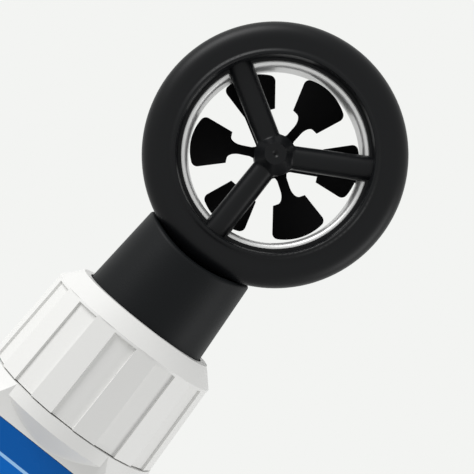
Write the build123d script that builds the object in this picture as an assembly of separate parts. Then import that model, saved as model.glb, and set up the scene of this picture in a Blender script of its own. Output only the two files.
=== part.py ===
from build123d import *
from math import atan, cos, degrees, radians, sin, tan
import os

# Pen-type vane anemometer, millimetres.
# It stands upright: +Z runs from the base to the wind head and the front looks along -Y.
# The origin is the centre of the flat base.

# Overall heights, from the base
SEAM_Z = 106.0
HEAD_RISE = 64.0
RING_Z = SEAM_Z + HEAD_RISE

# Wind head ring, in its own section: radius from the air axis, depth from the parting plane
RING_R = 26.0
RING_FACE_DEPTH = 8.6
RING_RIM_HALF = 5.2
RING_FACE_R = 22.4
BEAD_FOOT_R = 20.5
BEAD_R = 19.6
BEAD_RISE = 0.4
FUNNEL_TOP_R = 19.2
FUNNEL_END_R = 18.9
FUNNEL_END = 6.2
RING_TONGUE_R = 22.8
RING_TONGUE_WIDTH = 1.2
RING_TONGUE_DEPTH = 1.0

# Polished liner of the air bore
LINER_THROAT_R = 17.2
LINER_LIP_R = 18.2
LINER_OUTER_R = 18.9
LINER_HALF = 4.6
LINER_FLARE = 1.3

# Three-spoke bearing carriers, one in front and one behind
SPIDER_RIM_R = 19.6
SPIDER_RIM_INNER_R = 18.3
SPIDER_RIM_FRONT = 5.9
SPOKE_COUNT = 3
SPOKE_HUB_R = 2.3
SPOKE_WALL_R = 2.6
HUB_R = 4.1
HUB_NOSE_R = 2.1
HUB_NOSE = 9.0
HUB_DIMPLE_R = 0.7
HUB_DIMPLE_DEPTH = 0.5
HUB_BLEND_R = 0.8

# Shaft and jewel bearings
SHAFT_R = 0.5
SHAFT_RUNNING = 0.03
SHAFT_END = 7.2
SHAFT_POINT_LENGTH = 0.3
SHAFT_POINT_CUT = 0.25
BEARING_R = 1.4
BEARING_LENGTH = 1.6
BEARING_FRONT = 6.8

# Impeller
BLADE_COUNT = 6
BLADE_TIP_R = 16.9
BLADE_CROWN_R = 10.0
BLADE_SHOULDER_R = 9.75
BLADE_SHOULDER_FLAT = 1.0
BLADE_HALF_ANGLE = 19.5
BLADE_CORNER_R = 1.2
BLADE_PITCH = 29.0
BLADE_THICKNESS = 0.6
BLADE_CLOCKING = -3.2
STEM_HALF = 0.95
STEM_FLARE_LENGTH = 2.4
STEM_ROOT_FLARE = 0.8
STEM_ROOT_LENGTH = 1.2
ROTOR_HUB_R = 3.6
ROTOR_HUB_HALF = 2.0
MAGNET_R = 2.0
MAGNET_LENGTH = 1.2
SENSOR_SIZE = (3.2, 1.8, 1.0)
SENSOR_RISE = 2.5

# Neck between the ring and the collar
NECK_TOP_R = 12.3
NECK_TOP_DROP = 24.5
NECK_BASE_R = 13.5
NECK_WALL = 2.2
NECK_EDGE_R = 0.7
NECK_ROOF = 3.0
TENON_R = 4.0
TENON_LENGTH = 2.8
FLANGE_R = 15.8
FLANGE_THICKNESS = 2.7
SPIGOT_R = 13.3
SPIGOT_LENGTH = 12.0

# Ribbed screw collar
COLLAR_HEIGHT = 23.1
COLLAR_GAP = 0.25
COLLAR_BASE_R = 19.5
COLLAR_SHOULDER_R = 18.6
COLLAR_TOP_R = 15.4
COLLAR_CHAMFER = 3.5
COLLAR_TOP_WALL = 3.5
COLLAR_FLATS = 24
RECESS_DEPTH = 0.55
RECESS_LEDGE = 0.5
NECK_CLEARANCE = 0.35
THREAD_CLEARANCE = 0.3
FLAT_CUTTER_REACH = 3.0

# Threaded stub that the collar screws on, with its seal and washer
STUB_R = 16.0
STUB_BORE_R = 13.7
SEAL_THICKNESS = 1.2
SEAL_WIDTH = 1.3
WASHER_THICKNESS = 0.8
FACE_CLEARANCE = 0.05

# Instrument body
BODY_HALF_WIDTH = 20.0
BODY_FRONT = 16.2
BODY_BACK = 17.0
BODY_FRONT_CORNER = 7.0
BODY_BACK_CORNER = 12.0
BODY_WALL = 2.2
BODY_FLOOR = 2.6
BODY_ROOF = 5.0
BODY_SWELL_R = 23.2
BODY_BASE_R = 18.6
BODY_BASE_RISE = 12.0
BODY_SHOULDER_DROP = 14.0
FOOT_LEAN = 0.55
SHOULDER_LEAN = -0.25
BODY_SPLIT = 2.0
BAND_HEIGHT = 2.6
BAND_TAPER = 3.7
LEAD_HOLE_R = 5.0

# Front film, display and keys
LABEL_HALF_WIDTH = 13.6
LABEL_TOP = 99.25
LABEL_BOTTOM = 10.0
LABEL_CORNER = 2.0
LABEL_THICKNESS = 0.6
WINDOW_WIDTH = 24.0
WINDOW_HEIGHT = 25.0
WINDOW_MID = 77.0
WINDOW_CORNER = 1.5
WINDOW_THICKNESS = 1.2
WINDOW_LEDGE = 1.2
FIT_GAP = 0.1
LCD_WIDTH = 27.0
LCD_HEIGHT = 28.0
LCD_THICKNESS = 2.4
ZEBRA_HEIGHT = 2.0
KEY_WIDTH = 13.0
KEY_HEIGHT = 7.0
POWER_KEY_Z = 52.0
HOLD_KEY_Z = 39.5
MODE_KEY_Z = 27.0
KEY_MIDS = (POWER_KEY_Z, HOLD_KEY_Z, MODE_KEY_Z)
KEY_PROUD = 1.2
KEY_GAP = 0.3
KEY_FLANGE = 1.2
KEY_FLANGE_THICKNESS = 0.8
KEY_STEM_R = 2.0
KEY_EDGE_R = 0.5
KEY_CLEARANCE = 1.0
DOME_R = 2.6
DOME_THICKNESS = 0.3

# Circuit board
BOARD_HALF_WIDTH = 14.5
BOARD_BOTTOM = 12.0
BOARD_TOP = 92.0
BOARD_THICKNESS = 1.2
BOARD_FRONT = 9.5
BOARD_CORNER = 1.0
SMALL_CORNER = 0.4
BOARD_SCREW_R = 1.0
BOARD_SCREW_HEAD_R = 1.9
BOARD_SCREW_HEAD = 1.2
BOARD_SCREW_X = 11.8
BOARD_SCREW_Z = (18.0, 59.5)
SOCKET_SIZE = (8.0, 6.0, 5.0)
CONTROLLER_SIZE = (10.0, 1.4)
CONTROLLER_PLACE = (0.0, 76.0)
AMPLIFIER_SIZE = (5.0, 1.2)
AMPLIFIER_PLACE = (8.0, 66.0)
LEAD_R = 1.2
LEAD_BEND = 4.0
LEAD_STRAIGHT = 3.0

# Battery compartment
CELL_R = 5.25
CELL_LENGTH = 43.5
CELL_NIB_R = 1.8
CELL_NIB = 1.0
CELL_SPACING = 11.4
CELL_DEPTH = 6.9
CELL_BOTTOM = 17.5
CELL_EDGE = 0.4
TRAY_WALL = 1.2
TRAY_GAP = 0.4
TRAY_END = 4.0
TRAY_LEG = 6.0
TRAY_RIM = 3.15
SPRING_R = 3.0
SPRING_WIRE_R = 0.35
SPRING_TURNS = 3
SPRING_CLEARANCE = 0.02
CONTACT_THICKNESS = 0.5
CONTACT_HALF = 3.6
COVER_HALF_WIDTH = 11.5
COVER_BOTTOM = 13.0
COVER_TOP = 66.0
COVER_GAP = 0.3
GRIP_COUNT = 6
GRIP_PITCH = 1.6
GRIP_WIDTH = 10.0
GRIP_DEPTH = 0.5
GRIP_HEIGHT = 0.8
GRIP_DROP = 5.0

# Case screws
SCREW_X = 9.0
SCREW_Z = (6.9, 96.0)
SCREW_R = 1.2
SCREW_HEAD_R = 2.2
SCREW_HEAD = 1.6
SCREW_HOLE_R = 2.6
SCREW_SEAT = 12.0
SCREW_LENGTH = 14.0
SCREW_SLOT = 0.6
SCREW_CROSS = 2.6
SCREW_CROSS_DEPTH = 0.7
BOSS_R = 3.0

# Heights worked out from the sizes above
COLLAR_TOP_Z = SEAM_Z + COLLAR_HEIGHT
SHOULDER_Z = COLLAR_TOP_Z - COLLAR_TOP_WALL
WASHER_TOP_Z = SHOULDER_Z - FACE_CLEARANCE
WASHER_BOTTOM_Z = WASHER_TOP_Z - WASHER_THICKNESS
FLANGE_TOP_Z = WASHER_BOTTOM_Z - FACE_CLEARANCE
FLANGE_BOTTOM_Z = FLANGE_TOP_Z - FLANGE_THICKNESS
STUB_TOP_Z = FLANGE_BOTTOM_Z - SEAL_THICKNESS
BOARD_BACK = BOARD_FRONT - BOARD_THICKNESS
FRONT_INSIDE = BODY_FRONT - BODY_WALL

# Reach of the cutting tools: well past everything, and just past the face they open
ABOVE = 60.0
CUT = 1.0
# How far a boss sinks into the wall it grows from
WELD = 0.5


def stand(part):
    """Turn a piece drawn in the front view (x right, y up, z to the viewer) upright."""
    return Rot(90, 0, 0) * part


def in_head(part):
    """Place a piece drawn about the air axis at the ring's centre."""
    return Pos(0, 0, RING_Z) * stand(part)


def turned(part):
    """The same piece on the far side of the head, turned about the vertical."""
    return Rot(0, 180, 0) * part


def disc(radius, low, high, x=0.0, y=0.0):
    """A cylinder along z between two heights."""
    return Pos(x, y, low) * Cylinder(radius, high - low, align=(Align.CENTER, Align.CENTER, Align.MIN))


def tube(outer, inner, low, high):
    """A plain tube along z between two heights."""
    return disc(outer, low, high) - disc(inner, low, high)


def block(x0, x1, y0, y1, z0, z1):
    """A box between two corners."""
    return Pos(x0, y0, z0) * Box(x1 - x0, y1 - y0, z1 - z0, align=(Align.MIN, Align.MIN, Align.MIN))


def plate(width, height, corner, low, high, mid=0.0):
    """A round-cornered plate in the front view between two depths."""
    outline = Pos(0, mid) * RectangleRounded(width, height, corner)
    return Pos(0, 0, low) * extrude(outline, high - low)


def slot_plate(width, height, low, high, mid=0.0):
    """A plate with fully round ends in the front view."""
    outline = Pos(0, mid) * SlotOverall(width, height)
    return Pos(0, 0, low) * extrude(outline, high - low)


def spin(outline):
    """Revolve a section drawn as (radius, height) about z."""
    return revolve(Plane.XZ * outline, Axis.Z)


# Wind head

def ring_section():
    """Front half of the ring: rounded outer shoulder, flat face, raised inner bead and funnel."""
    parting = 0.0
    crest = RING_FACE_DEPTH + BEAD_RISE
    outer = Polyline((LINER_OUTER_R, parting), (RING_R, parting), (RING_R, RING_RIM_HALF))
    shoulder = EllipticalCenterArc(
        (RING_FACE_R, RING_RIM_HALF),
        RING_R - RING_FACE_R,
        RING_FACE_DEPTH - RING_RIM_HALF,
        start_angle=0,
        arc_size=90,
    )
    face = Line((RING_FACE_R, RING_FACE_DEPTH), (BEAD_FOOT_R, RING_FACE_DEPTH))
    bead = Spline((BEAD_FOOT_R, RING_FACE_DEPTH), (BEAD_R, crest), tangents=((-1, 0), (-1, 0)))
    brow = RadiusArc((BEAD_R, crest), (FUNNEL_TOP_R, RING_FACE_DEPTH), -BEAD_RISE)
    inside = Polyline(
        (FUNNEL_TOP_R, RING_FACE_DEPTH),
        (FUNNEL_END_R, FUNNEL_END),
        (FUNNEL_END_R, SPIDER_RIM_FRONT),
        (SPIDER_RIM_R, SPIDER_RIM_FRONT),
        (SPIDER_RIM_R, LINER_HALF),
        (LINER_OUTER_R, LINER_HALF),
        (LINER_OUTER_R, parting),
    )
    return make_face([*outer.edges(), shoulder, face, bead, brow, *inside.edges()])


def ring_half():
    """Half of the ring with its share of the socket for the neck's tenon."""
    half = spin(ring_section())
    socket = Pos(0, -RING_R, 0) * Rot(90, 0, 0) * Cylinder(TENON_R, 2 * TENON_LENGTH)
    return half - socket


def ring_tongue(clearance):
    """The rib that lines the two halves up at the parting plane, above the neck's socket only."""
    low = RING_TONGUE_R - RING_TONGUE_WIDTH / 2 - clearance
    high = RING_TONGUE_R + RING_TONGUE_WIDTH / 2 + clearance
    rib = tube(high, low, 0, RING_TONGUE_DEPTH + clearance)
    return rib - block(-RING_R / 2, RING_R / 2, -RING_R, 0, -CUT, RING_TONGUE_DEPTH + CUT)


def head_front_shell():
    """Front half of the ring."""
    return in_head(ring_half() - ring_tongue(FIT_GAP))


def head_rear_shell():
    """Rear half of the ring, with the locating rib."""
    return in_head(turned(ring_half()) + ring_tongue(0))


def bore_liner():
    """Polished sleeve with a rolled lip at each end of its throat."""
    throat = LINER_HALF - LINER_FLARE
    lip = EllipticalCenterArc(
        (LINER_LIP_R, throat),
        LINER_LIP_R - LINER_THROAT_R,
        LINER_FLARE,
        start_angle=90,
        arc_size=90,
    )
    rear_lip = EllipticalCenterArc(
        (LINER_LIP_R, -throat),
        LINER_LIP_R - LINER_THROAT_R,
        LINER_FLARE,
        start_angle=180,
        arc_size=90,
    )
    wall = Line((LINER_THROAT_R, throat), (LINER_THROAT_R, -throat))
    seat = Polyline(
        (LINER_LIP_R, -LINER_HALF),
        (LINER_OUTER_R, -LINER_HALF),
        (LINER_OUTER_R, LINER_HALF),
        (LINER_LIP_R, LINER_HALF),
    )
    return in_head(spin(make_face([lip, wall, rear_lip, *seat.edges()])))


def spoke(angle):
    """A half-round spoke, flat towards the impeller."""
    bar = Rot(-90, 0, 0) * Cone(
        SPOKE_HUB_R, SPOKE_WALL_R, SPIDER_RIM_R, align=(Align.CENTER, Align.CENTER, Align.MIN)
    )
    half = bar & block(-RING_R, RING_R, -RING_R, RING_R, 0, RING_R)
    return Rot(0, 0, angle - 90) * Pos(0, 0, LINER_HALF) * half


def spider():
    """Bearing carrier: conical hub blended into three spokes, inside a clamped rim."""
    hub = Polyline(
        (0, LINER_HALF),
        (HUB_R, LINER_HALF),
        (HUB_R, SPIDER_RIM_FRONT),
        (HUB_NOSE_R, HUB_NOSE),
        (HUB_DIMPLE_R, HUB_NOSE),
        (0, HUB_NOSE - HUB_DIMPLE_DEPTH),
        close=True,
    )
    part = spin(make_face(hub))
    for index in range(SPOKE_COUNT):
        part += spoke(-90 + index * 360 / SPOKE_COUNT)
    meeting = part.edges().filter_by(GeomType.BSPLINE)
    part = fillet(meeting.filter_by_position(Axis.Z, LINER_HALF + FIT_GAP, HUB_NOSE), HUB_BLEND_R)
    part += tube(SPIDER_RIM_R, SPIDER_RIM_INNER_R, LINER_HALF, SPIDER_RIM_FRONT)
    bearing_pocket = disc(BEARING_R, LINER_HALF - CUT, BEARING_FRONT)
    shaft_room = disc(SHAFT_R + FIT_GAP, BEARING_FRONT - CUT, SHAFT_END + FIT_GAP)
    return part - bearing_pocket - shaft_room - ring_half()


def front_spider():
    """Carrier in front of the impeller."""
    return in_head(spider())


def rear_spider():
    """Carrier behind the impeller, with the pocket of the sensor."""
    return in_head(turned(spider()) - sensor_block())


def sensor_block():
    """Room that the magnetic sensor takes in the rear hub, drawn about the air axis."""
    width, height, depth = SENSOR_SIZE
    front = -LINER_HALF
    low = SENSOR_RISE - height / 2
    return block(-width / 2, width / 2, low, low + height, front - depth, front)


def hall_sensor():
    """Sensor that counts the turns of the rotor magnet."""
    return in_head(sensor_block())


def bearing():
    """Jewel bush of one shaft end."""
    bush = tube(BEARING_R, SHAFT_R + SHAFT_RUNNING, BEARING_FRONT - BEARING_LENGTH, BEARING_FRONT)
    return bush


def impeller_shaft():
    """Steel pin with pointed ends."""
    body = disc(SHAFT_R, -SHAFT_END, SHAFT_END)
    ends = body.edges().filter_by(GeomType.CIRCLE)
    return in_head(chamfer(ends, SHAFT_POINT_LENGTH, SHAFT_POINT_CUT))


def blade_outline():
    """One blade seen along the air axis: a stem that flares into a fan with a crowned, round-cornered tip."""
    half = radians(BLADE_HALF_ANGLE)
    shoulder_x = BLADE_SHOULDER_R * sin(half)
    shoulder_y = BLADE_SHOULDER_R * cos(half)
    flare_x = shoulder_x - BLADE_SHOULDER_FLAT
    flare_low = shoulder_y - STEM_FLARE_LENGTH
    crown = Pos(0, BLADE_TIP_R - BLADE_CROWN_R) * Circle(BLADE_CROWN_R)
    fan = Polyline(
        (0, shoulder_y),
        (shoulder_x, shoulder_y),
        (2 * shoulder_x, 2 * shoulder_y),
        (-2 * shoulder_x, 2 * shoulder_y),
        (-shoulder_x, shoulder_y),
        close=True,
    )
    blade = make_face(fan) & crown
    tips = blade.vertices().group_by(Axis.Y)[-1]
    blade = fillet(tips, BLADE_CORNER_R)
    stem = Pos(0, shoulder_y / 2) * Rectangle(2 * STEM_HALF, shoulder_y)
    for side in (-1, 1):
        flare = EllipticalCenterArc(
            (side * flare_x, flare_low),
            flare_x - STEM_HALF,
            STEM_FLARE_LENGTH,
            start_angle=90 if side > 0 else 0,
            arc_size=90,
        )
        edge_x = side * STEM_HALF
        web = Polyline((edge_x, flare_low), (edge_x, shoulder_y), (side * flare_x, shoulder_y))
        stem += make_face([flare, *web.edges()])
        root = Polyline(
            (edge_x, ROTOR_HUB_R - STEM_ROOT_LENGTH),
            (edge_x + side * STEM_ROOT_FLARE, ROTOR_HUB_R - STEM_ROOT_LENGTH),
            (edge_x, ROTOR_HUB_R + STEM_ROOT_LENGTH),
            close=True,
        )
        stem += make_face(root)
    return blade + stem


def impeller():
    """Hub and six pitched blades in one moulding."""
    prism = Pos(0, 0, -ABOVE / 2) * extrude(blade_outline(), ABOVE)
    sheet = Rot(0, BLADE_PITCH, 0) * Box(4 * BLADE_TIP_R, 4 * BLADE_TIP_R, BLADE_THICKNESS)
    blade = prism & sheet
    wheel = disc(ROTOR_HUB_R, -ROTOR_HUB_HALF, ROTOR_HUB_HALF)
    for index in range(BLADE_COUNT):
        wheel += Rot(0, 0, BLADE_CLOCKING + index * 360 / BLADE_COUNT) * blade
    magnet_seat = disc(MAGNET_R, -ROTOR_HUB_HALF - CUT, -ROTOR_HUB_HALF + MAGNET_LENGTH)
    return in_head(wheel - magnet_seat - disc(SHAFT_R, -ABOVE, ABOVE))


def rotor_magnet():
    """Ring magnet in the back of the impeller's hub."""
    return in_head(tube(MAGNET_R, SHAFT_R, -ROTOR_HUB_HALF, -ROTOR_HUB_HALF + MAGNET_LENGTH))


# Neck, seal and collar

def neck():
    """Tapered tube whose top end is a saddle round the ring."""
    slope = (NECK_BASE_R - NECK_TOP_R) / (HEAD_RISE - COLLAR_HEIGHT - NECK_TOP_DROP)
    top_z = RING_Z - RING_R / 2
    top_r = NECK_TOP_R - slope * (NECK_TOP_DROP - RING_R / 2)
    outside = Polyline(
        (0, FLANGE_TOP_Z),
        (NECK_BASE_R, FLANGE_TOP_Z),
        (NECK_BASE_R, COLLAR_TOP_Z),
        (top_r, top_z),
        (0, top_z),
        close=True,
    )
    shell = spin(make_face(outside))
    saddle = Pos(0, 0, RING_Z) * Rot(90, 0, 0) * Cylinder(RING_R, ABOVE)
    shell -= saddle
    saddle_edges = shell.edges().filter_by_position(Axis.Z, COLLAR_TOP_Z + CUT, RING_Z)
    shell = fillet(saddle_edges.filter_by(GeomType.LINE, reverse=True), NECK_EDGE_R)
    roof_z = RING_Z - RING_R - NECK_ROOF
    bore = disc(NECK_TOP_R - NECK_WALL, FLANGE_BOTTOM_Z - SPIGOT_LENGTH, roof_z)
    shell += disc(FLANGE_R, FLANGE_BOTTOM_Z, FLANGE_TOP_Z)
    shell += disc(SPIGOT_R, FLANGE_BOTTOM_Z - SPIGOT_LENGTH, FLANGE_BOTTOM_Z)
    tenon = disc(TENON_R - FIT_GAP, roof_z, RING_Z - RING_R + TENON_LENGTH - FIT_GAP)
    return shell + tenon - bore - disc(LEAD_R, roof_z - CUT, RING_Z)


def neck_seal():
    """Flat rubber seal between the neck's flange and the threaded stub."""
    return tube(FLANGE_R, FLANGE_R - SEAL_WIDTH, STUB_TOP_Z, FLANGE_BOTTOM_Z)


def slip_washer():
    """Washer that lets the collar turn without twisting the neck."""
    inner = NECK_BASE_R + NECK_CLEARANCE
    return tube(FLANGE_R, inner, WASHER_BOTTOM_Z, WASHER_TOP_Z)


def flat_cutter(apothem, top, angle):
    """A wedge that leaves a flat at the given distance from the axis, leaning with the collar."""
    half = 180 / COLLAR_FLATS
    low = SEAM_Z + COLLAR_GAP
    lean = degrees(atan((COLLAR_BASE_R - COLLAR_SHOULDER_R) / (COLLAR_HEIGHT - COLLAR_CHAMFER)))
    reach = FLAT_CUTTER_REACH
    near = tan(radians(half)) * apothem
    far = tan(radians(half)) * (apothem + reach)
    wedge = make_face(Polyline((0, -near), (reach, -far), (reach, far), (0, near), close=True))
    solid = Pos(0, 0, -CUT) * extrude(wedge, top - low + CUT)
    return Rot(0, 0, angle) * Pos(apothem, 0, low) * Rot(0, -lean, 0) * solid


def collar():
    """Screw collar: conical wall with raised and sunk flats in turn, and a bevelled top."""
    low = SEAM_Z + COLLAR_GAP
    shoulder = COLLAR_TOP_Z - COLLAR_CHAMFER
    outside = Polyline(
        (STUB_R + THREAD_CLEARANCE, low),
        (COLLAR_BASE_R, low),
        (COLLAR_SHOULDER_R, shoulder),
        (COLLAR_TOP_R, COLLAR_TOP_Z),
        (NECK_BASE_R + NECK_CLEARANCE, COLLAR_TOP_Z),
        (NECK_BASE_R + NECK_CLEARANCE, SHOULDER_Z),
        (STUB_R + THREAD_CLEARANCE, SHOULDER_Z),
        close=True,
    )
    part = spin(make_face(outside))
    step = 360 / COLLAR_FLATS
    raised = COLLAR_BASE_R * cos(radians(step / 2))
    for index in range(COLLAR_FLATS):
        angle = -90 + index * step
        sunk = index % 2 == 0
        apothem = raised - RECESS_DEPTH if sunk else raised
        top = shoulder - RECESS_LEDGE if sunk else shoulder
        part -= flat_cutter(apothem, top, angle)
    return part


# Instrument body

def body_section(inset):
    """Horizontal section: flat front, rounded sides and back."""
    depth = BODY_FRONT + BODY_BACK
    outline = Pos(0, (BODY_BACK - BODY_FRONT) / 2) * Rectangle(2 * BODY_HALF_WIDTH, depth)
    outline = fillet(outline.vertices().group_by(Axis.Y)[0], BODY_FRONT_CORNER)
    outline = fillet(outline.vertices().group_by(Axis.Y)[-1], BODY_BACK_CORNER)
    return offset(outline, -inset) if inset else outline


def body_barrel(inset, low, high):
    """Turned envelope that draws the body in towards its round top and its base."""
    bottom_r = BODY_BASE_R - inset
    swell_r = BODY_SWELL_R - inset
    top_r = COLLAR_BASE_R - inset
    rise = BODY_BASE_RISE
    drop = SEAM_Z - BODY_SHOULDER_DROP
    foot = Spline((bottom_r, low), (swell_r, rise), tangents=((FOOT_LEAN, 1), (0, 1)))
    side = Line((swell_r, rise), (swell_r, drop))
    shoulder = Spline((swell_r, drop), (top_r, high), tangents=((0, 1), (SHOULDER_LEAN, 1)))
    ends = Polyline((top_r, high), (0, high), (0, low), (bottom_r, low))
    return spin(make_face([foot, side, shoulder, *ends.edges()]))


def body_outside():
    """The closed outer form, without its threaded stub."""
    prism = extrude(body_section(0), SEAM_Z)
    form = prism & body_barrel(0, 0, SEAM_Z)
    band = Polyline(
        (0, SEAM_Z - BAND_HEIGHT - BAND_TAPER),
        (BODY_FRONT, SEAM_Z - BAND_HEIGHT - BAND_TAPER),
        (COLLAR_BASE_R, SEAM_Z - BAND_HEIGHT),
        (COLLAR_BASE_R, SEAM_Z),
        (0, SEAM_Z),
        close=True,
    )
    return form + spin(make_face(band))


def body_inside():
    """The hollow of the case."""
    low = BODY_FLOOR
    high = SEAM_Z - BODY_ROOF
    prism = Pos(0, 0, low) * extrude(body_section(BODY_WALL), high - low)
    return prism & body_barrel(BODY_WALL, low, high)


def body_case():
    """Case wall with the stub on its top, before it is parted."""
    case = body_outside() - body_inside()
    case += disc(STUB_R, SEAM_Z - CUT, STUB_TOP_Z)
    case -= disc(STUB_BORE_R, SEAM_Z - CUT, STUB_TOP_Z + CUT)
    return case - disc(LEAD_HOLE_R, SEAM_Z - BODY_ROOF - CUT, SEAM_Z)


def label_outline(clearance, low, high):
    """The film's outline as a plate in the front view."""
    width = 2 * (LABEL_HALF_WIDTH + clearance)
    height = LABEL_TOP - LABEL_BOTTOM + 2 * clearance
    return plate(width, height, LABEL_CORNER, low, high, (LABEL_TOP + LABEL_BOTTOM) / 2)


def window_plate(clearance, low, high):
    """The display window's outline as a plate in the front view."""
    width = WINDOW_WIDTH + 2 * clearance
    height = WINDOW_HEIGHT + 2 * clearance
    return plate(width, height, WINDOW_CORNER, low, high, WINDOW_MID)


def key_holes(clearance, low, high):
    """The three key openings."""
    width = KEY_WIDTH + 2 * clearance
    height = KEY_HEIGHT + 2 * clearance
    holes = [slot_plate(width, height, low, high, mid) for mid in KEY_MIDS]
    return holes[0] + holes[1] + holes[2]


def screw_places():
    """The four case screws in the front view."""
    return [(side * SCREW_X, height) for height in SCREW_Z for side in (-1, 1)]


def board_screw_places():
    """The four board screws in the front view."""
    return [(side * BOARD_SCREW_X, height) for height in BOARD_SCREW_Z for side in (-1, 1)]


def body_front_shell():
    """Front of the case with the film's recess, the window opening, key holes and bosses."""
    shell = body_case() & block(-ABOVE, ABOVE, -ABOVE, BODY_SPLIT, -CUT, STUB_TOP_Z + CUT)
    shell -= stand(label_outline(FIT_GAP, BODY_FRONT - LABEL_THICKNESS, BODY_FRONT + CUT))
    shell -= stand(window_plate(FIT_GAP, BODY_FRONT - WINDOW_THICKNESS, BODY_FRONT + CUT))
    shell -= stand(window_plate(-WINDOW_LEDGE, FRONT_INSIDE - CUT, BODY_FRONT + CUT))
    shell -= stand(key_holes(KEY_GAP, FRONT_INSIDE - CUT, BODY_FRONT + CUT))
    for x, y in screw_places():
        boss = disc(BOSS_R, -BODY_SPLIT, FRONT_INSIDE + WELD, x, y)
        shell += stand(boss - disc(SCREW_R, -ABOVE, SCREW_LENGTH - SCREW_SEAT + FIT_GAP, x, y))
    for x, y in board_screw_places():
        boss = disc(BOARD_SCREW_HEAD_R, BOARD_FRONT, FRONT_INSIDE + WELD, x, y)
        shell += stand(boss - disc(BOARD_SCREW_R, BOARD_FRONT - CUT, FRONT_INSIDE - CUT, x, y))
    return shell


def cover_block(clearance):
    """The battery opening in the back wall."""
    half = COVER_HALF_WIDTH + clearance
    low = COVER_BOTTOM - clearance
    high = COVER_TOP + clearance
    return block(-half, half, CELL_DEPTH + CELL_R + FIT_GAP, ABOVE, low, high)


def battery_cover():
    """Snap-in cover cut from the case's own back wall, with grip ribs cut into its top."""
    cover = (body_outside() - body_inside()) & cover_block(0)
    for index in range(GRIP_COUNT):
        height = COVER_TOP - GRIP_DROP - index * GRIP_PITCH
        groove = Pos(0, BODY_BACK, height) * Box(GRIP_WIDTH, 2 * GRIP_DEPTH, GRIP_HEIGHT)
        cover -= groove
    return cover


def body_rear_shell():
    """Back of the case with the battery opening and counterbored screw holes."""
    shell = body_case() & block(-ABOVE, ABOVE, BODY_SPLIT, ABOVE, -CUT, STUB_TOP_Z + CUT)
    shell -= cover_block(COVER_GAP)
    for x, y in screw_places():
        post = disc(BOSS_R + SCREW_HEAD_R - SCREW_R, -BODY_BACK + WELD, -BODY_SPLIT, x, y)
        shell += stand(post) & body_outside()
        shell -= stand(disc(SCREW_HOLE_R, -ABOVE, -SCREW_SEAT, x, y))
        shell -= stand(disc(SCREW_R, -SCREW_SEAT - CUT, ABOVE, x, y))
    return shell


def label_panel():
    """Front film with its window and key openings."""
    film = label_outline(0, BODY_FRONT - LABEL_THICKNESS, BODY_FRONT)
    film -= window_plate(FIT_GAP, 0, BODY_FRONT + CUT)
    return stand(film - key_holes(KEY_GAP, 0, BODY_FRONT + CUT))


def display_window():
    """Clear window, flush with the film."""
    return stand(window_plate(0, BODY_FRONT - WINDOW_THICKNESS, BODY_FRONT))


def lcd_panel():
    """Liquid-crystal panel behind the window."""
    front = FRONT_INSIDE - FIT_GAP
    return stand(plate(LCD_WIDTH, LCD_HEIGHT, SMALL_CORNER, front - LCD_THICKNESS, front, WINDOW_MID))


def zebra_strips():
    """Two rubber connectors between the display and the board."""
    high = FRONT_INSIDE - FIT_GAP - LCD_THICKNESS
    strips = []
    for side in (-1, 1):
        mid = WINDOW_MID + side * (LCD_HEIGHT - ZEBRA_HEIGHT) / 2
        strips.append(stand(plate(LCD_WIDTH, ZEBRA_HEIGHT, SMALL_CORNER, BOARD_FRONT, high, mid)))
    return Compound(children=strips)


def key(mid):
    """Oval key cap with a retaining flange and a contact stem."""
    inside = FRONT_INSIDE - FIT_GAP
    cap = slot_plate(KEY_WIDTH, KEY_HEIGHT, inside, BODY_FRONT + KEY_PROUD, mid)
    cap = fillet(cap.faces().sort_by(Axis.Z)[-1].edges(), KEY_EDGE_R)
    width = KEY_WIDTH + 2 * KEY_FLANGE
    flange = slot_plate(width, KEY_HEIGHT + 2 * KEY_FLANGE, inside - KEY_FLANGE_THICKNESS, inside, mid)
    stem = disc(KEY_STEM_R, BOARD_FRONT + DOME_THICKNESS + KEY_CLEARANCE, inside, 0, mid)
    return stand(cap + flange + stem)


def snap_domes():
    """Three contact domes on the board."""
    front = BOARD_FRONT
    return Compound(children=[stand(disc(DOME_R, front, front + DOME_THICKNESS, 0, mid)) for mid in KEY_MIDS])


def circuit_board():
    """Main board with its screw holes."""
    mid = (BOARD_TOP + BOARD_BOTTOM) / 2
    board = plate(2 * BOARD_HALF_WIDTH, BOARD_TOP - BOARD_BOTTOM, BOARD_CORNER, BOARD_BACK, BOARD_FRONT, mid)
    for x, y in board_screw_places():
        board -= disc(BOARD_SCREW_R, 0, ABOVE, x, y)
    return stand(board)


def board_screws():
    """Four small screws that hold the board to the front shell."""
    screws = []
    for x, y in board_screw_places():
        head = disc(BOARD_SCREW_HEAD_R, BOARD_BACK - BOARD_SCREW_HEAD, BOARD_BACK, x, y)
        shank = disc(BOARD_SCREW_R, BOARD_BACK, FRONT_INSIDE - CUT, x, y)
        screws.append(stand(head + shank))
    return Compound(children=screws)


def chip(size, place):
    """A square chip on the back of the board."""
    width, thickness = size
    x, mid = place
    return stand(Pos(x, 0) * plate(width, width, SMALL_CORNER, BOARD_BACK - thickness, BOARD_BACK, mid))


def board_chips():
    """Controller and amplifier on the back of the board."""
    controller = chip(CONTROLLER_SIZE, CONTROLLER_PLACE)
    amplifier = chip(AMPLIFIER_SIZE, AMPLIFIER_PLACE)
    return Compound(children=[controller, amplifier])


def head_socket():
    """Plug connector of the sensor lead at the top of the board."""
    width, height, depth = SOCKET_SIZE
    low = BOARD_TOP - height
    return stand(plate(width, height, SMALL_CORNER, BOARD_BACK - depth, BOARD_BACK, low + height / 2))


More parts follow.
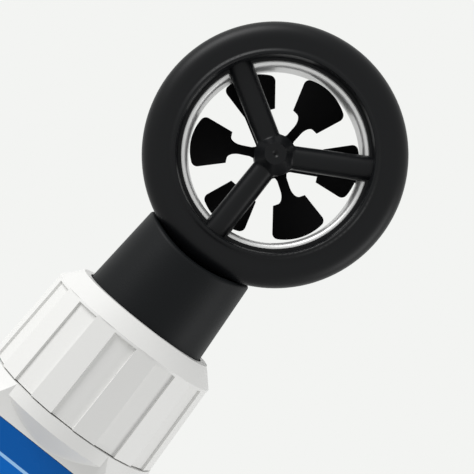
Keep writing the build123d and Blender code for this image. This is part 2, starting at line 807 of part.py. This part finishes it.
def sensor_lead():
    """Lead from the head down the neck to the socket, in straight runs with round bends."""
    socket_y = SOCKET_SIZE[2] / 2 - BOARD_BACK
    route = FilletPolyline(
        (0, 0, RING_Z - RING_R + TENON_LENGTH),
        (0, 0, SEAM_Z - BODY_ROOF),
        (0, socket_y, BOARD_TOP + LEAD_STRAIGHT),
        (0, socket_y, BOARD_TOP),
        radius=LEAD_BEND,
    )
    return sweep(Plane(route @ 0, z_dir=route % 0) * Circle(LEAD_R - FIT_GAP), route)


# Battery compartment

def cell_places():
    """Middle of each cell, across the case."""
    return (-CELL_SPACING / 2, CELL_SPACING / 2)


def battery(index):
    """One AAA cell with its raised contact; the two lie opposite ways up."""
    length = CELL_LENGTH
    can = disc(CELL_R, 0, length)
    can = chamfer(can.edges().filter_by(GeomType.CIRCLE), CELL_EDGE)
    cell = can + disc(CELL_NIB_R, length, length + CELL_NIB)
    x = cell_places()[index]
    if index:
        cell = Pos(0, 0, length) * Rot(180, 0, 0) * cell
    return Pos(x, CELL_DEPTH, CELL_BOTTOM) * cell


def tray_ends():
    """Heights of the two inner end faces of the tray."""
    return CELL_BOTTOM - TRAY_END, CELL_BOTTOM + CELL_LENGTH + TRAY_END


def battery_tray():
    """Open tray that carries the two cells behind the board."""
    half = CELL_SPACING / 2 + CELL_R + TRAY_GAP
    low, high = tray_ends()
    floor_y = CELL_DEPTH - CELL_R - TRAY_GAP
    rim_y = CELL_DEPTH + TRAY_RIM
    wall = TRAY_WALL
    outer = block(-half - wall, half + wall, floor_y - wall, rim_y, low - wall, high + wall)
    tray = outer - block(-half, half, floor_y, rim_y + CUT, low, high)
    for x, y in board_screw_places():
        tray -= stand(disc(BOARD_SCREW_HEAD_R + FIT_GAP, -CELL_DEPTH - CELL_R, BOARD_BACK, x, y))
    tray += block(-wall, wall, -BOARD_BACK, floor_y - wall, low, low + TRAY_LEG)
    return tray + block(-wall, wall, -BOARD_BACK, floor_y - wall, high - TRAY_LEG, high)


def battery_contacts():
    """Flat contact plates at the two ends of the tray."""
    low, high = tray_ends()
    plates = []
    for x in cell_places():
        for z in (low, high - CONTACT_THICKNESS):
            y0 = CELL_DEPTH - CONTACT_HALF
            y1 = CELL_DEPTH + CONTACT_HALF
            plates.append(block(x - CONTACT_HALF, x + CONTACT_HALF, y0, y1, z, z + CONTACT_THICKNESS))
    return Compound(children=plates)


def coil(radius, wire, height):
    """A coil spring along z."""
    path = Helix(pitch=height / SPRING_TURNS, height=height, radius=radius)
    return sweep(Plane(path @ 0, z_dir=path % 0) * Circle(wire), path, is_frenet=True)


def battery_springs():
    """One coil spring at the flat end of each cell."""
    low, high = tray_ends()
    wire = SPRING_WIRE_R
    start = CONTACT_THICKNESS + wire + SPRING_CLEARANCE
    length = TRAY_END - start - wire - SPRING_CLEARANCE
    lower = Pos(cell_places()[0], CELL_DEPTH, low + start) * coil(SPRING_R, wire, length)
    upper = Pos(cell_places()[1], CELL_DEPTH, high - start - length) * coil(SPRING_R, wire, length)
    return Compound(children=[lower, upper])


def case_screws():
    """Four cross-slotted screws that close the case from behind."""
    screws = []
    for x, y in screw_places():
        head = disc(SCREW_HEAD_R, -SCREW_SEAT - SCREW_HEAD, -SCREW_SEAT, x, y)
        shank = disc(SCREW_R, -SCREW_SEAT, -SCREW_SEAT + SCREW_LENGTH, x, y)
        arm = Box(SCREW_SLOT, SCREW_CROSS, 2 * SCREW_CROSS_DEPTH)
        cross = arm + Rot(0, 0, 90) * arm
        slot = Pos(x, y, -SCREW_SEAT - SCREW_HEAD) * cross
        screws.append(stand(head + shank - slot))
    return Compound(children=screws)


def write(name, shape):
    """Write one piece to its own file."""
    export_step(shape, f"parts/{name}.step")


def main():
    """Make every piece and write it."""
    os.makedirs("parts", exist_ok=True)
    write("head_front_shell", head_front_shell())
    write("head_rear_shell", head_rear_shell())
    write("bore_liner", bore_liner())
    write("front_spider", front_spider())
    write("rear_spider", rear_spider())
    write("front_bearing", in_head(bearing()))
    write("rear_bearing", in_head(turned(bearing())))
    write("hall_sensor", hall_sensor())
    write("impeller", impeller())
    write("impeller_shaft", impeller_shaft())
    write("rotor_magnet", rotor_magnet())
    write("neck", neck())
    write("neck_seal", neck_seal())
    write("slip_washer", slip_washer())
    write("collar", collar())
    write("sensor_lead", sensor_lead())
    write("body_front_shell", body_front_shell())
    write("body_rear_shell", body_rear_shell())
    write("label_panel", label_panel())
    write("display_window", display_window())
    write("lcd_panel", lcd_panel())
    write("zebra_strips", zebra_strips())
    write("power_key", key(POWER_KEY_Z))
    write("hold_key", key(HOLD_KEY_Z))
    write("mode_key", key(MODE_KEY_Z))
    write("snap_domes", snap_domes())
    write("circuit_board", circuit_board())
    write("board_screws", board_screws())
    write("board_chips", board_chips())
    write("head_socket", head_socket())
    write("battery_tray", battery_tray())
    write("battery_contacts", battery_contacts())
    write("battery_springs", battery_springs())
    write("left_battery", battery(0))
    write("right_battery", battery(1))
    write("battery_cover", battery_cover())
    write("case_screws", case_screws())


main()
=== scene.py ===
"""Looks of the pen-type vane anemometer: finishes, finer pieces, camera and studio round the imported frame."""

import logging
import math
from dataclasses import dataclass
from enum import Enum

import bmesh
import bpy
from mathutils import Matrix, Vector


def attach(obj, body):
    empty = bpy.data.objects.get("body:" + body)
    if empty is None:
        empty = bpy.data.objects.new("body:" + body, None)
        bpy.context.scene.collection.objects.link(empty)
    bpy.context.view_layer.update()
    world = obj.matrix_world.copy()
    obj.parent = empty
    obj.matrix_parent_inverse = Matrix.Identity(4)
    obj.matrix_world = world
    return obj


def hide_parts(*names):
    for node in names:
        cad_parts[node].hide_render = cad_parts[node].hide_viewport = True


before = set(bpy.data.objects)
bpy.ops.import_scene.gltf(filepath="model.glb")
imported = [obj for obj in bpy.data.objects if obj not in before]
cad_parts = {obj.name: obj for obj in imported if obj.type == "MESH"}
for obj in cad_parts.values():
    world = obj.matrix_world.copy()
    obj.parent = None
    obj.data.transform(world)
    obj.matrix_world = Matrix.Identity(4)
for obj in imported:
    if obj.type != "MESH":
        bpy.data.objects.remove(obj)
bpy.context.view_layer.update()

logging.basicConfig(level=logging.INFO, format="%(message)s")
log = logging.getLogger("anemometer")

MM = 0.001


class Body(Enum):
    """Bodies of the frame that the script's own pieces ride on."""

    INSTRUMENT = "instrument"
    POWER = "power_key"
    HOLD = "hold_key"
    MODE = "mode_key"


def linear(code: str) -> tuple[float, float, float, float]:
    """Convert an sRGB hex colour to linear light.

    Args:
        code: Colour as "#rrggbb".

    Returns:
        Linear red, green, blue and an alpha of 1.
    """
    channels = [int(code[i : i + 2], 16) / 255 for i in (1, 3, 5)]
    light = [c / 12.92 if c <= 0.04045 else ((c + 0.055) / 1.055) ** 2.4 for c in channels]
    return light[0], light[1], light[2], 1.0


def add_node(tree: bpy.types.NodeTree, kind: str, **settings: object) -> bpy.types.Node:
    """Add a node and set its properties or, by socket name, its input values.

    Args:
        tree: Node tree that takes the node.
        kind: Blender's node type name.
        **settings: Node properties, or input values with underscores for spaces.

    Returns:
        The new node.
    """
    node = tree.nodes.new(kind)
    for key, value in settings.items():
        if hasattr(node, key):
            setattr(node, key, value)
        else:
            node.inputs[key.replace("_", " ")].default_value = value
    return node


@dataclass(frozen=True)
class Finish:
    """Surface of one material: colour, gloss and the fine grain left by its tool or mould."""

    name: str
    colour: str
    roughness: float
    metallic: float = 0.0
    specular: float = 0.5
    roughness_spread: float = 0.05
    patch_mm: float = 6.0
    grain_mm: float = 0.5
    grain_depth_mm: float = 0.004

    def build(self) -> bpy.types.Material:
        """Make the material.

        Returns:
            Material with its shader, roughness variation and grain.
        """
        material = bpy.data.materials.new(self.name)
        material.use_nodes = True
        tree = material.node_tree
        shader = tree.nodes["Principled BSDF"]
        shader.inputs["Base Color"].default_value = linear(self.colour)
        shader.inputs["Metallic"].default_value = self.metallic
        shader.inputs["Specular IOR Level"].default_value = self.specular
        self.add_grain(tree, shader)
        return material

    def add_grain(self, tree: bpy.types.NodeTree, shader: bpy.types.Node) -> None:
        """Vary roughness over the surface and raise a fine grain.

        Args:
            tree: Node tree of the material.
            shader: Its Principled shader.
        """
        place = add_node(tree, "ShaderNodeTexCoord")
        patches = add_node(tree, "ShaderNodeTexNoise", Scale=1 / (self.patch_mm * MM), Detail=3.0)
        spread = add_node(tree, "ShaderNodeMapRange")
        spread.inputs["To Min"].default_value = max(self.roughness - self.roughness_spread, 0.02)
        spread.inputs["To Max"].default_value = min(self.roughness + self.roughness_spread, 1.0)
        grain = add_node(tree, "ShaderNodeTexNoise", Scale=1 / (self.grain_mm * MM), Detail=4.0)
        bump = add_node(tree, "ShaderNodeBump", Strength=1.0, Distance=self.grain_depth_mm * MM)
        links = tree.links
        links.new(place.outputs["Object"], patches.inputs["Vector"])
        links.new(place.outputs["Object"], grain.inputs["Vector"])
        links.new(patches.outputs["Fac"], spread.inputs["Value"])
        links.new(spread.outputs["Result"], shader.inputs["Roughness"])
        links.new(grain.outputs["Fac"], bump.inputs["Height"])
        links.new(bump.outputs["Normal"], shader.inputs["Normal"])


@dataclass(frozen=True)
class ClearFinish(Finish):
    """Clear plastic that light goes through."""

    def build(self) -> bpy.types.Material:
        """Make the material with full transmission.

        Returns:
            Clear material.
        """
        material = super().build()
        shader = material.node_tree.nodes["Principled BSDF"]
        shader.inputs["Transmission Weight"].default_value = 1.0
        shader.inputs["IOR"].default_value = 1.49
        return material


FINISHES = {
    # Satin black ABS of the wind head, moulded in a finely blasted tool.
    "head_black": Finish("satin_black_abs", "#0e0f11", 0.4, specular=0.17, grain_mm=0.35, grain_depth_mm=0.003),
    # The same ABS on the bearing carriers, from a smoother tool.
    "spider_black": Finish("carrier_black_abs", "#0e0f11", 0.36, specular=0.17, grain_mm=0.4, grain_depth_mm=0.002),
    # Spark-eroded black polycarbonate of the neck, with a leathery fine grain.
    "neck_black": Finish("textured_black_pc", "#0e1012", 0.5, specular=0.13, grain_mm=0.28, grain_depth_mm=0.03),
    # Matt black nylon of the impeller.
    "rotor_black": Finish("matt_black_nylon", "#070708", 0.6, specular=0.07, grain_mm=0.5, grain_depth_mm=0.004),
    # Satin anodised aluminium of the bore liner, turned.
    "bright_liner": Finish("satin_aluminium", "#dcdcdc", 0.4, metallic=0.7, grain_mm=0.3, grain_depth_mm=0.001),
    # White ABS of the case and collar, lightly grained.
    "case_white": Finish("white_abs", "#e9e9e7", 0.42, grain_mm=0.4, grain_depth_mm=0.003),
    # Screen-printed polycarbonate film, glossy side out.
    "film_blue": Finish("printed_blue_film", "#0668c4", 0.28, specular=0.12, grain_mm=0.6, grain_depth_mm=0.0015),
    # Darker band printed across the top of the film.
    "film_dark": Finish("printed_dark_band", "#055aab", 0.28, specular=0.12, grain_mm=0.6, grain_depth_mm=0.0015),
    # Pale line printed under the dark band.
    "film_pale": Finish("printed_pale_line", "#9fcdf8", 0.28, specular=0.12, grain_mm=0.6, grain_depth_mm=0.0015),
    # Dark liquid-crystal segments.
    "segment": Finish("dark_segment", "#1e2420", 0.4, specular=0.1, grain_depth_mm=0.0003),
    # White ink of the signs on the keys.
    "key_ink": Finish("white_ink", "#e8eaec", 0.5, grain_depth_mm=0.001),
    # Clear acrylic of the display window.
    "clear_window": ClearFinish("clear_acrylic", "#ffffff", 0.05, roughness_spread=0.02, grain_depth_mm=0.0003),
    # Grey-green liquid-crystal glass with its reflector.
    "lcd_grey": Finish("lcd_glass", "#a9b3a4", 0.25, grain_depth_mm=0.0005),
    # Grey silicone-coated keys.
    "key_grey": Finish("grey_key_abs", "#8d9297", 0.5, grain_mm=0.35, grain_depth_mm=0.004),
    # Black nitrile rubber of the seal and the lead.
    "seal_black": Finish("nitrile_rubber", "#161616", 0.7, grain_mm=0.4, grain_depth_mm=0.006),
    # Natural acetal of the slip washer.
    "washer_white": Finish("natural_acetal", "#e4e2da", 0.4),
    # Zinc-plated steel of screws and shaft.
    "steel": Finish("zinc_plated_steel", "#b9bbbd", 0.3, metallic=1.0, grain_depth_mm=0.001),
    # Synthetic ruby of the bearings.
    "jewel": Finish("synthetic_ruby", "#9c1432", 0.12, grain_depth_mm=0.0003),
    # Nickel-plated magnet.
    "magnet_grey": Finish("nickel_plating", "#a7a59f", 0.25, metallic=1.0, grain_depth_mm=0.0006),
    # Glass-epoxy board under green solder mask.
    "board_green": Finish("green_solder_mask", "#14562f", 0.35, grain_depth_mm=0.002),
    # Black moulding compound of the chips and the socket.
    "chip_black": Finish("moulding_compound", "#1c1c1e", 0.55),
    # Banded silicone of the display connectors.
    "zebra_grey": Finish("zebra_silicone", "#5c5f63", 0.6),
    # Grey ABS of the battery tray.
    "tray_grey": Finish("grey_abs", "#6d7074", 0.5),
    # Nickel-plated spring steel of the contacts, springs and domes.
    "contact_metal": Finish("nickel_plated_spring", "#c4c2ba", 0.28, metallic=1.0, grain_depth_mm=0.001),
    # Printed shrink sleeve of the cells.
    "cell_green": Finish("cell_sleeve", "#2f7d4a", 0.32, grain_depth_mm=0.001),
}


def dress_frame() -> dict[str, bpy.types.Material]:
    """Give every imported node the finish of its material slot.

    Returns:
        Materials by slot name.
    """
    made = {slot: finish.build() for slot, finish in FINISHES.items()}
    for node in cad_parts.values():
        for index, old in enumerate(node.data.materials):
            node.data.materials[index] = made[old.name.split(".")[0]]
    return made


LAMP_TARGET = (0.0, 0.0, 0.14)


@dataclass(frozen=True)
class Lamp:
    """One soft lamp of the studio."""

    name: str
    place: tuple[float, float, float]
    size: tuple[float, float]
    power: float

    def build(self) -> bpy.types.Object:
        """Make the lamp, aimed at the wind head.

        Returns:
            The lamp object.
        """
        data = bpy.data.lights.new(self.name, "AREA")
        data.shape = "RECTANGLE"
        data.size, data.size_y = self.size
        data.energy = self.power
        lamp = bpy.data.objects.new(self.name, data)
        lamp.location = self.place
        aim = Vector(LAMP_TARGET) - lamp.location
        lamp.rotation_euler = aim.to_track_quat("-Z", "Y").to_euler()
        bpy.context.scene.collection.objects.link(lamp)
        return lamp


def new_piece(name: str, mesh: bpy.types.Mesh, body: Body) -> bpy.types.Object:
    """Put a finished mesh into the scene, riding on a body.

    Args:
        name: Name of the piece.
        mesh: Its mesh, in metres in the row frame.
        body: Body that it moves with.

    Returns:
        The new object.
    """
    mesh.name = name
    piece = bpy.data.objects.new(name, mesh)
    bpy.context.scene.collection.objects.link(piece)
    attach(piece, body.value)
    log.info("%s: %d faces", name, len(mesh.polygons))
    return piece


class Marks:
    """Thin printed or raised signs on a face that looks along -Y, drawn in millimetres."""

    ARC_STEPS = 40

    def __init__(self, front_mm: float, thickness_mm: float) -> None:
        """Start an empty set of signs.

        Args:
            front_mm: Depth of the face that carries them, as -Y.
            thickness_mm: How far they stand proud.
        """
        self.front = front_mm
        self.thickness = thickness_mm
        self.shape = bmesh.new()

    def polygon(self, corners: list[tuple[float, float]]) -> None:
        """Add one closed prism.

        Args:
            corners: Corners (x, z), anticlockwise seen from the front.
        """
        back = [self.shape.verts.new((x * MM, -self.front * MM, z * MM)) for x, z in corners]
        face = [self.shape.verts.new((x * MM, -(self.front + self.thickness) * MM, z * MM)) for x, z in corners]
        self.shape.faces.new(face)
        self.shape.faces.new(list(reversed(back)))
        count = len(corners)
        for i in range(count):
            j = (i + 1) % count
            self.shape.faces.new((face[i], back[i], back[j], face[j]))

    def bar(self, x: float, z: float, width: float, height: float) -> None:
        """Add a bar with square ends.

        Args:
            x: Middle, across.
            z: Middle, up.
            width: Size across.
            height: Size up.
        """
        left, right = x - width / 2, x + width / 2
        low, high = z - height / 2, z + height / 2
        self.polygon([(left, low), (right, low), (right, high), (left, high)])

    def arc(self, x: float, z: float, radius: float, width: float, start: float, end: float) -> None:
        """Add part of a ring.

        Args:
            x: Centre, across.
            z: Centre, up.
            radius: Mean radius.
            width: Width of the line.
            start: First angle in degrees, from +X towards +Z.
            end: Last angle in degrees.
        """
        outer, inner = radius + width / 2, radius - width / 2
        step = (end - start) / self.ARC_STEPS
        angles = [math.radians(start + step * i) for i in range(self.ARC_STEPS + 1)]
        for a, b in zip(angles, angles[1:]):
            ring = [(outer, a), (outer, b), (inner, b), (inner, a)]
            self.polygon([(x + r * math.cos(t), z + r * math.sin(t)) for r, t in ring])

    def finish(self, name: str, material: bpy.types.Material, body: Body) -> bpy.types.Object:
        """Make the piece.

        Args:
            name: Name of the piece.
            material: Its finish.
            body: Body that it moves with.

        Returns:
            The new object.
        """
        bmesh.ops.recalc_face_normals(self.shape, faces=self.shape.faces)
        mesh = bpy.data.meshes.new(name)
        self.shape.to_mesh(mesh)
        self.shape.free()
        mesh.materials.append(material)
        return new_piece(name, mesh, body)


@dataclass(frozen=True)
class FrontFilm:
    """Printed film: a darker band along its top edge, a pale line and the plain blue field."""

    line_top_mm: float = 94.15
    line_width_mm: float = 0.6

    def build(self, made: dict[str, bpy.types.Material]) -> bpy.types.Object:
        """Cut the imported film's own shape along the printed bands.

        Args:
            made: Materials by slot name.

        Returns:
            The film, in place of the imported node.
        """
        shape = bmesh.new()
        shape.from_mesh(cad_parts["label_panel"].data)
        bmesh.ops.remove_doubles(shape, verts=shape.verts, dist=0.001 * MM)
        top = self.line_top_mm * MM
        low = top - self.line_width_mm * MM
        for height in (top, low):
            parts = shape.verts[:] + shape.edges[:] + shape.faces[:]
            bmesh.ops.bisect_plane(shape, geom=parts, plane_co=(0, 0, height), plane_no=(0, 0, 1))
        for face in shape.faces:
            height = face.calc_center_median().z
            face.material_index = 1 if height > top else 2 if height > low else 0
            face.smooth = False
        mesh = bpy.data.meshes.new("front_film")
        shape.to_mesh(mesh)
        shape.free()
        for slot in ("film_blue", "film_dark", "film_pale"):
            mesh.materials.append(made[slot])
        film = new_piece("front_film", mesh, Body.INSTRUMENT)
        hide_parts("label_panel")
        return film


SEGMENTS = {"3": "abcdg", "4": "bcfg"}


@dataclass(frozen=True)
class Reading:
    """Seven-segment number on the liquid-crystal glass, its sizes in millimetres."""

    digit_width: float = 5.0
    digit_height: float = 10.0
    digit_offset: float = 4.2
    line: float = 1.1
    corner_gap: float = 1.3
    thickness: float = 0.05
    glass_front: float = 13.9
    middle: float = 78.0

    def build(self, made: dict[str, bpy.types.Material]) -> bpy.types.Object:
        """Draw the number 3.4.

        Args:
            made: Materials by slot name.

        Returns:
            The dark segments.
        """
        marks = Marks(self.glass_front, self.thickness)
        self.digit(marks, "3", -self.digit_offset)
        self.digit(marks, "4", self.digit_offset)
        marks.bar(0.0, self.middle - self.digit_height / 2 + self.line / 2, self.line, self.line)
        piece = marks.finish("display_segments", made["segment"], Body.INSTRUMENT)
        return piece

    def digit(self, marks: Marks, sign: str, x: float) -> None:
        """Add one digit.

        Args:
            marks: Signs that take it.
            sign: The digit.
            x: Its middle, across.
        """
        w, h, t, z = self.digit_width, self.digit_height, self.line, self.middle
        across = w - self.corner_gap * t
        along = h / 2 - self.corner_gap * t
        bars = {
            "a": (x, z + (h - t) / 2, across, t),
            "b": (x + (w - t) / 2, z + h / 4, t, along),
            "c": (x + (w - t) / 2, z - h / 4, t, along),
            "d": (x, z - (h - t) / 2, across, t),
            "f": (x - (w - t) / 2, z + h / 4, t, along),
            "g": (x, z, across, t),
        }
        for name in SEGMENTS[sign]:
            marks.bar(*bars[name])


@dataclass(frozen=True)
class KeySigns:
    """Plain signs on the keys, their sizes in millimetres: power, hold and mode."""

    cap_front: float = 17.4
    ink: float = 0.03
    line: float = 0.4
    power_middle: float = 51.8
    power_radius: float = 1.5
    power_gap_ends: tuple[float, float] = (125.0, 415.0)
    power_stroke_middle: float = 53.2
    power_stroke: float = 1.9
    hold_middle: float = 39.5
    hold_spread: float = 0.8
    hold_bar: tuple[float, float] = (0.7, 2.8)
    mode_foot: float = 25.9
    mode_tip: float = 28.4
    mode_half_width: float = 1.6

    def build(self, made: dict[str, bpy.types.Material]) -> None:
        """Print the three signs.

        Args:
            made: Materials by slot name.
        """
        power = Marks(self.cap_front, self.ink)
        power.arc(0.0, self.power_middle, self.power_radius, self.line, *self.power_gap_ends)
        power.bar(0.0, self.power_stroke_middle, self.line, self.power_stroke)
        hold = Marks(self.cap_front, self.ink)
        for side in (-self.hold_spread, self.hold_spread):
            hold.bar(side, self.hold_middle, *self.hold_bar)
        mode = Marks(self.cap_front, self.ink)
        half, foot = self.mode_half_width, self.mode_foot
        mode.polygon([(-half, foot), (half, foot), (0.0, self.mode_tip)])
        signs = ((power, "power_sign", Body.POWER), (hold, "hold_sign", Body.HOLD), (mode, "mode_sign", Body.MODE))
        for marks, name, body in signs:
            marks.finish(name, made["key_ink"], body)


class Studio:
    """Pale floor and background, soft lamps and the camera at the photograph's angle."""

    BACKGROUND = "#f3f4f2"
    AMBIENT = 0.5
    LAMPS = (
        Lamp("key_left", (-0.54, -0.2, 0.5), (0.3, 0.45), 3.6),
        Lamp("fill_right", (0.6, -0.12, 0.12), (0.25, 0.45), 1.3),
    )
    FLOOR_RADIUS = 0.26
    FADE_START = 0.06
    FADE_END = 0.25
    FLOOR_CORNERS = 96
    FLOOR_DROP = 0.2 * MM
    CAMERA_PLACE = (0.00415, -0.2585, 0.15288)
    CAMERA_ROLL = math.radians(38.5)
    LENS_MM = 98.73

    def build(self) -> None:
        """Set up background, floor, lamps and camera."""
        self.world()
        self.floor()
        for lamp in self.LAMPS:
            lamp.build()
        self.camera()

    def world(self) -> None:
        """Plain light from all round, seen as the pale background by the camera, metal and glass."""
        world = bpy.data.worlds.new("studio")
        world.use_nodes = True
        bpy.context.scene.world = world
        tree = world.node_tree
        tree.nodes.clear()
        seen = add_node(tree, "ShaderNodeBackground", Color=linear(self.BACKGROUND), Strength=1.0)
        ambient = add_node(tree, "ShaderNodeBackground", Color=(1.0, 1.0, 1.0, 1.0), Strength=self.AMBIENT)
        self.pick(tree, ambient.outputs[0], seen.outputs[0])

    def pick(self, tree: bpy.types.NodeTree, lit: bpy.types.NodeSocket, seen: bpy.types.NodeSocket) -> None:
        """Show one background to camera, glossy and transmission rays and another to the rest.

        Args:
            tree: Node tree of the world.
            lit: Output of the background for other rays.
            seen: Output of the background for the rays that see it.
        """
        path = add_node(tree, "ShaderNodeLightPath")
        camera_or_gloss = add_node(tree, "ShaderNodeMath", operation="MAXIMUM")
        any_seen = add_node(tree, "ShaderNodeMath", operation="MAXIMUM")
        mix = add_node(tree, "ShaderNodeMixShader")
        end = add_node(tree, "ShaderNodeOutputWorld")
        links = tree.links
        links.new(path.outputs["Is Camera Ray"], camera_or_gloss.inputs[0])
        links.new(path.outputs["Is Glossy Ray"], camera_or_gloss.inputs[1])
        links.new(camera_or_gloss.outputs[0], any_seen.inputs[0])
        links.new(path.outputs["Is Transmission Ray"], any_seen.inputs[1])
        links.new(any_seen.outputs[0], mix.inputs[0])
        links.new(lit, mix.inputs[1])
        links.new(seen, mix.inputs[2])
        links.new(mix.outputs[0], end.inputs["Surface"])

    def floor(self) -> None:
        """Pale matt round board under the base, clear towards its rim so that no edge shows."""
        mesh = bpy.data.meshes.new("floor")
        turn = [2 * math.pi * i / self.FLOOR_CORNERS for i in range(self.FLOOR_CORNERS)]
        rim = [(self.FLOOR_RADIUS * math.cos(a), self.FLOOR_RADIUS * math.sin(a), 0.0) for a in turn]
        mesh.from_pydata(rim, [], [tuple(range(self.FLOOR_CORNERS))])
        floor = bpy.data.objects.new("floor", mesh)
        floor.location.z = -self.FLOOR_DROP
        bpy.context.scene.collection.objects.link(floor)
        # Matt white painted board.
        board = Finish("floor_board", "#efefed", 0.8, specular=0.1).build()
        self.fade(board)
        floor.data.materials.append(board)

    def fade(self, material: bpy.types.Material) -> None:
        """Let a floor material run out into the background with the distance from the instrument.

        Args:
            material: Material of the floor.
        """
        tree = material.node_tree
        place = add_node(tree, "ShaderNodeTexCoord")
        distance = add_node(tree, "ShaderNodeVectorMath", operation="LENGTH")
        share = add_node(tree, "ShaderNodeMapRange", interpolation_type="SMOOTHSTEP")
        share.inputs["From Min"].default_value = self.FADE_START
        share.inputs["From Max"].default_value = self.FADE_END
        clear = add_node(tree, "ShaderNodeBsdfTransparent")
        mix = add_node(tree, "ShaderNodeMixShader")
        links = tree.links
        links.new(place.outputs["Object"], distance.inputs[0])
        links.new(distance.outputs["Value"], share.inputs["Value"])
        links.new(share.outputs["Result"], mix.inputs[0])
        links.new(tree.nodes["Principled BSDF"].outputs[0], mix.inputs[1])
        links.new(clear.outputs[0], mix.inputs[2])
        links.new(mix.outputs[0], tree.nodes["Material Output"].inputs["Surface"])

    def camera(self) -> None:
        """Camera level with the head, looking along +Y and rolled as in the photograph."""
        data = bpy.data.cameras.new("camera")
        data.lens = self.LENS_MM
        data.sensor_width = 36.0
        data.clip_start, data.clip_end = 0.01, 20.0
        camera = bpy.data.objects.new("camera", data)
        c, s = math.cos(self.CAMERA_ROLL), math.sin(self.CAMERA_ROLL)
        axes = Matrix(((c, -s, 0.0), (0.0, 0.0, -1.0), (s, c, 0.0)))
        camera.matrix_world = Matrix.Translation(self.CAMERA_PLACE) @ axes.to_4x4()
        bpy.context.scene.collection.objects.link(camera)
        bpy.context.scene.camera = camera


def main() -> None:
    """Build the scene in order and log each part."""
    scene = bpy.context.scene
    scene.view_settings.view_transform = "Standard"
    made = dress_frame()
    log.info("finishes on %d packed nodes", len(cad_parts))
    FrontFilm().build(made)
    Reading().build(made)
    KeySigns().build(made)
    Studio().build()
    log.info("studio built")


if __name__ == "__main__":
    main()
